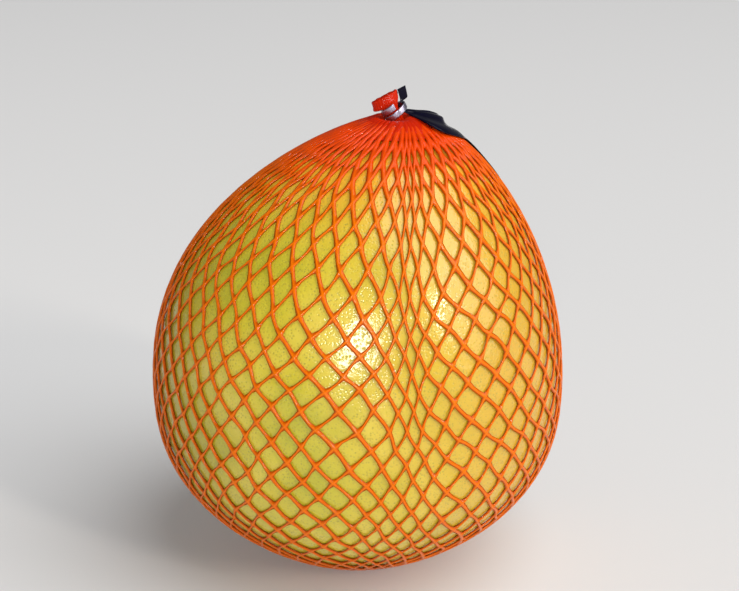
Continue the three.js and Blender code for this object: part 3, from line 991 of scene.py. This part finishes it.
@dataclass
class FilmStrip:
    """The film strip, from its cut end beside the tail, through the clip and down the back."""

    shape: WrapShape
    neck: NetNeck
    start_angle: float = math.radians(-42)
    angle: float = math.radians(16)
    start_width: float = 10.0
    width: float = 27.0
    thickness: float = 0.3
    lowest: float = 0.85
    stands_proud: float = 1.2
    proud_radii: tuple[float, float] = (15.0, 22.0)
    pleat: float = 0.3
    pleat_radii: tuple[float, float] = (14.0, 20.0)
    fan_from: float = 9.0
    fan_radii: tuple[float, float] = (5.0, 22.0)
    swing_radii: tuple[float, float] = (10.0, 25.0)
    drape_radii: tuple[float, float] = (36.0, 64.0)
    folds: float = 0.3
    slack: float = 0.25
    slack_size: float = 11.0
    end_height: float = 19.0
    wrap_steps: int = 30
    columns: int = 28
    rows: int = 230
    # Place across the neck, height along it, half width, and the face's turn from front to right.
    bundle: tuple[tuple[float, float, float, float], ...] = (
        (5.5, 8.9, 1.5, 0), (5.2, 7.5, 1.45, 0), (4.85, 6.2, 1.4, 0), (4.4, 5.1, 1.3, 8),
        (2.7, 4.45, 1.35, 70), (2.25, 3.7, 1.5, 90), (2.25, 2.2, 1.6, 90), (5.0, -0.4, 2.0, 55))
    controls: list[Callable[[float], tuple[Vector, Vector]]] = field(default_factory=list)

    def bundle_section(
        self, row: tuple[float, float, float, float], side: float
    ) -> tuple[Vector, Vector]:
        """Gives a point of the bundle and the film's facing there."""
        across, height, half, turn = row
        facing = math.radians(turn)
        leaning = self.neck.frame_at_peak()
        local = Vector((across + side * half * math.cos(facing), side * half * math.sin(facing), height))
        out = leaning.to_3x3() @ Vector((math.sin(facing), -math.cos(facing), 0))
        return leaning @ local, out

    def wrap_section(self, distance: float, side: float) -> tuple[Vector, Vector]:
        """Gives a point of the strip on the fruit and the film's facing there.

        Args:
            distance: Millimetres along the outline.
            side: Place across the strip, from -1 at its front edge to 1 at its rear edge.

        Returns:
            The point and the facing.
        """
        radius, height, out, up = self.shape.on_outline(distance)
        shoulder = height > self.shape.belly_height
        fan = ease(radius, *self.fan_radii) if shoulder else 1.0
        swing = ease(radius, *self.swing_radii) if shoulder else 1.0
        half = mix(self.start_width, self.width, fan) / 2
        angle = mix(self.start_angle, self.angle, swing) + math.atan2(half, radius)
        proud = self.lowest
        if shoulder:
            proud += self.pleat * (1 - ease(radius, *self.pleat_radii))
            proud += self.stands_proud * (1 - ease(radius, *self.proud_radii)) * (1 + side) / 2
        facing = Vector((out * math.cos(angle), out * math.sin(angle), up))
        point = self.shape.on_wrap(angle + side * half / radius, distance, proud)
        if shoulder and radius < self.drape_radii[1]:
            reach = self.shape.distance_at(math.hypot(radius, side * half))
            draped = self.shape.on_wrap(angle + math.atan2(side * half, radius), reach, proud)
            point = draped.lerp(point, ease(radius, *self.drape_radii))
        return point, facing

    def sections(self) -> list[Callable[[float], tuple[Vector, Vector]]]:
        """Lists the strip's cross-sections in order from the cut end to the lower end."""
        start = self.shape.distance_at(self.fan_from)
        end = self.shape.distance_at_height(self.end_height)
        found: list[Callable[[float], tuple[Vector, Vector]]] = [
            lambda side, row=row: self.bundle_section(row, side) for row in self.bundle]
        for index in range(self.wrap_steps + 1):
            distance = mix(start, end, index / self.wrap_steps)
            found.append(lambda side, distance=distance: self.wrap_section(distance, side))
        return found

    def place(self, across: float, along: float) -> Vector:
        """Gives a point of the film on a smooth curve through the cross-sections.

        Args:
            across: Share of the width.
            along: Share of the cross-sections passed.

        Returns:
            The point, with the folds that the clip gathers into the film.
        """
        side = 2 * across - 1
        at = along * (len(self.controls) - 1)
        near = [control(side) for control in self.controls]
        point = through([place for place, _ in near], at)
        facing = through([out for _, out in near], at).normalized()
        # The clip gathers the film where the bundle ends. It lies flat a few sections further on.
        free = len(self.bundle)
        gathered = ease(at, free - 2, free) * (1 - ease(at, free + 1, free + 6))
        folds = self.folds * gathered * math.sin(side * 6 + 0.5 * math.sin(at))
        slack = self.slack * noise.noise(point / self.slack_size) * ease(at, free, free + 4)
        return point + facing * (folds + slack)

    def build(self) -> bpy.types.Object:
        """Makes the strip."""
        self.controls = self.sections()
        bm = mapped_grid(self.columns, self.rows, self.place, closed=False)
        piece = to_piece(bm, "film_strip", DarkFilm().build(), "label_strip")
        thicken(piece, self.thickness)
        return piece


@dataclass
class Studio:
    """Pale floor, soft light and the camera of the photograph."""

    aim: tuple[float, float, float] = (4.35, 0.0, 94.4)
    distance: float = 470.0
    elevation: float = math.radians(20)
    focal_px: float = 1341.0
    frame_px: float = 739.0
    sensor_mm: float = 36.0
    lit_height: float = 0.085
    floor_size: float = 6.0
    floor_tone: str = "#dcdcdc"
    sky_tone: str = "#f4f4f6"
    sky_strength: float = 0.16

    def eye(self) -> Vector:
        """Gives the camera's place in metres."""
        back = Vector((0, -math.cos(self.elevation), math.sin(self.elevation)))
        return (Vector(self.aim) + back * self.distance) * MM

    def camera(self) -> None:
        """Sets up the camera."""
        data = bpy.data.cameras.new("camera")
        data.sensor_width = self.sensor_mm
        data.lens = self.sensor_mm * self.focal_px / self.frame_px
        camera = add_object("camera", data)
        camera.location = self.eye()
        toward = Vector(self.aim) * MM - camera.location
        camera.rotation_euler = toward.to_track_quat("-Z", "Y").to_euler()
        bpy.context.scene.camera = camera

    def toward(self, azimuth: float, elevation: float) -> Vector:
        """Gives the direction from the fruit to a light, from its azimuth and elevation in degrees."""
        a, e = math.radians(azimuth), math.radians(elevation)
        return Vector((math.sin(a) * math.cos(e), -math.cos(a) * math.cos(e), math.sin(e)))

    def lamp(self, name: str, place: tuple[float, float, float], size: tuple[float, float],
             power: float, colour: str = "#ffffff") -> None:
        """Adds a soft rectangular lamp that faces the fruit.

        Args:
            name: The lamp's name.
            place: Its azimuth and elevation in degrees and its distance in metres. Azimuth 0 is the
                camera's side, and it grows towards the right.
            size: Width and height in metres.
            power: Watts.
            colour: Its sRGB colour.
        """
        data = bpy.data.lights.new(name, "AREA")
        data.shape = "RECTANGLE"
        data.size, data.size_y = size
        data.energy = power
        data.color = linear(colour)[:3]
        lamp = add_object(name, data)
        centre = Vector((0, 0, self.lit_height))
        lamp.location = centre + place[2] * self.toward(place[0], place[1])
        lamp.rotation_euler = (centre - lamp.location).to_track_quat("-Z", "Y").to_euler()

    def overhead(self, place: tuple[float, float], strength: float, spread: float) -> None:
        """Adds the even light from above that keeps the floor one tone.

        Args:
            place: Its azimuth and elevation in degrees, as for a lamp.
            strength: Watts for each square metre.
            spread: The light's angular width.
        """
        data = bpy.data.lights.new("overhead", "SUN")
        data.energy = strength
        data.angle = spread
        lamp = add_object("overhead", data)
        lamp.rotation_euler = (-self.toward(*place)).to_track_quat("-Z", "Y").to_euler()

    def floor(self) -> None:
        """Lays the pale floor."""
        bm = bmesh.new()
        bmesh.ops.create_grid(bm, x_segments=8, y_segments=8, size=self.floor_size)
        mesh = bpy.data.meshes.new("floor")
        bm.to_mesh(mesh)
        bm.free()
        shade(mesh, Shading.FLAT)
        material, _, _ = new_material("pale_card", {
            "Base Color": linear(self.floor_tone), "Roughness": 0.9, "Specular IOR Level": 0.1})
        mesh.materials.append(material)
        floor = add_object("floor", mesh)

    def build(self) -> None:
        """Sets the whole studio up."""
        self.camera()
        self.floor()
        self.lamp("flash", (-1, 21, 4.0), (1.0, 1.25), 86.0)
        self.lamp("right_window", (47, 25, 4.4), (0.4, 1.1), 48.0, "#fff4e6")
        self.lamp("right_wall", (72, 20, 6.0), (3.8, 3.8), 84.0)
        self.overhead((72, 61), 1.95, math.radians(60))
        world = bpy.data.worlds.new("studio")
        world.use_nodes = True
        background = world.node_tree.nodes["Background"]
        background.inputs["Color"].default_value = linear(self.sky_tone)
        background.inputs["Strength"].default_value = self.sky_strength
        bpy.context.scene.world = world
        bpy.context.scene.view_settings.view_transform = "Standard"


def main() -> None:
    """Builds the studio and the part, piece by piece."""
    noise.seed_set(SEED)
    Studio().build()
    shape = WrapShape()
    neck = NetNeck(shape)
    assemblies = (
        Fruit(shape), NetSleeve(shape), neck, NetFoot(), WireClip(neck), FilmStrip(shape, neck))
    for assembly in assemblies:
        piece = assembly.build()
        log.info("built %s from %s", piece.name, type(assembly).__name__)


if __name__ == "__main__":
    main()
